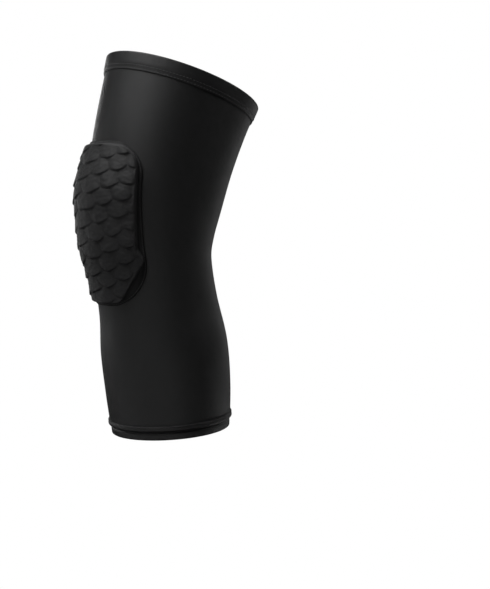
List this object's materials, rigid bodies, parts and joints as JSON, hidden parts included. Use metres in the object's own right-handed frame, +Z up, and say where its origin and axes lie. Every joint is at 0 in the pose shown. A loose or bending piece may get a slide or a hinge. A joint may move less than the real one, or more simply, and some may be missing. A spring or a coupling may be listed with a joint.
{
  "type": "padded knee sleeve",
  "caption": "Stretch cloth sleeve for a knee, open at both ends, with a thick scaled foam pad on the front of the knee, a folded thigh cuff and a stitched calf hem.",
  "frame": {"origin": "inside the sleeve, on the leg's centre line, at the height of the pad's middle", "axes": "+Z up the leg, the knee's front and the pad towards -Y, left and right along X"},
  "size_m": [0.136, 0.1768, 0.3491],
  "materials": {
    "sleeve_cloth": "black knitted nylon and elastane with a soft satin sheen",
    "cuff_cloth": "the same black cloth, folded double and stitched",
    "hem_cloth": "the same black cloth, folded and stitched over an elastic band",
    "pad_foam": "matt black moulded foam with a thin cloth skin and raised scales"
  },
  "bodies": {
    "root": {"sleeve_body": "sleeve_cloth", "thigh_cuff": "cuff_cloth", "calf_hem": "hem_cloth", "knee_pad": "pad_foam"}
  },
  "joints": []
}
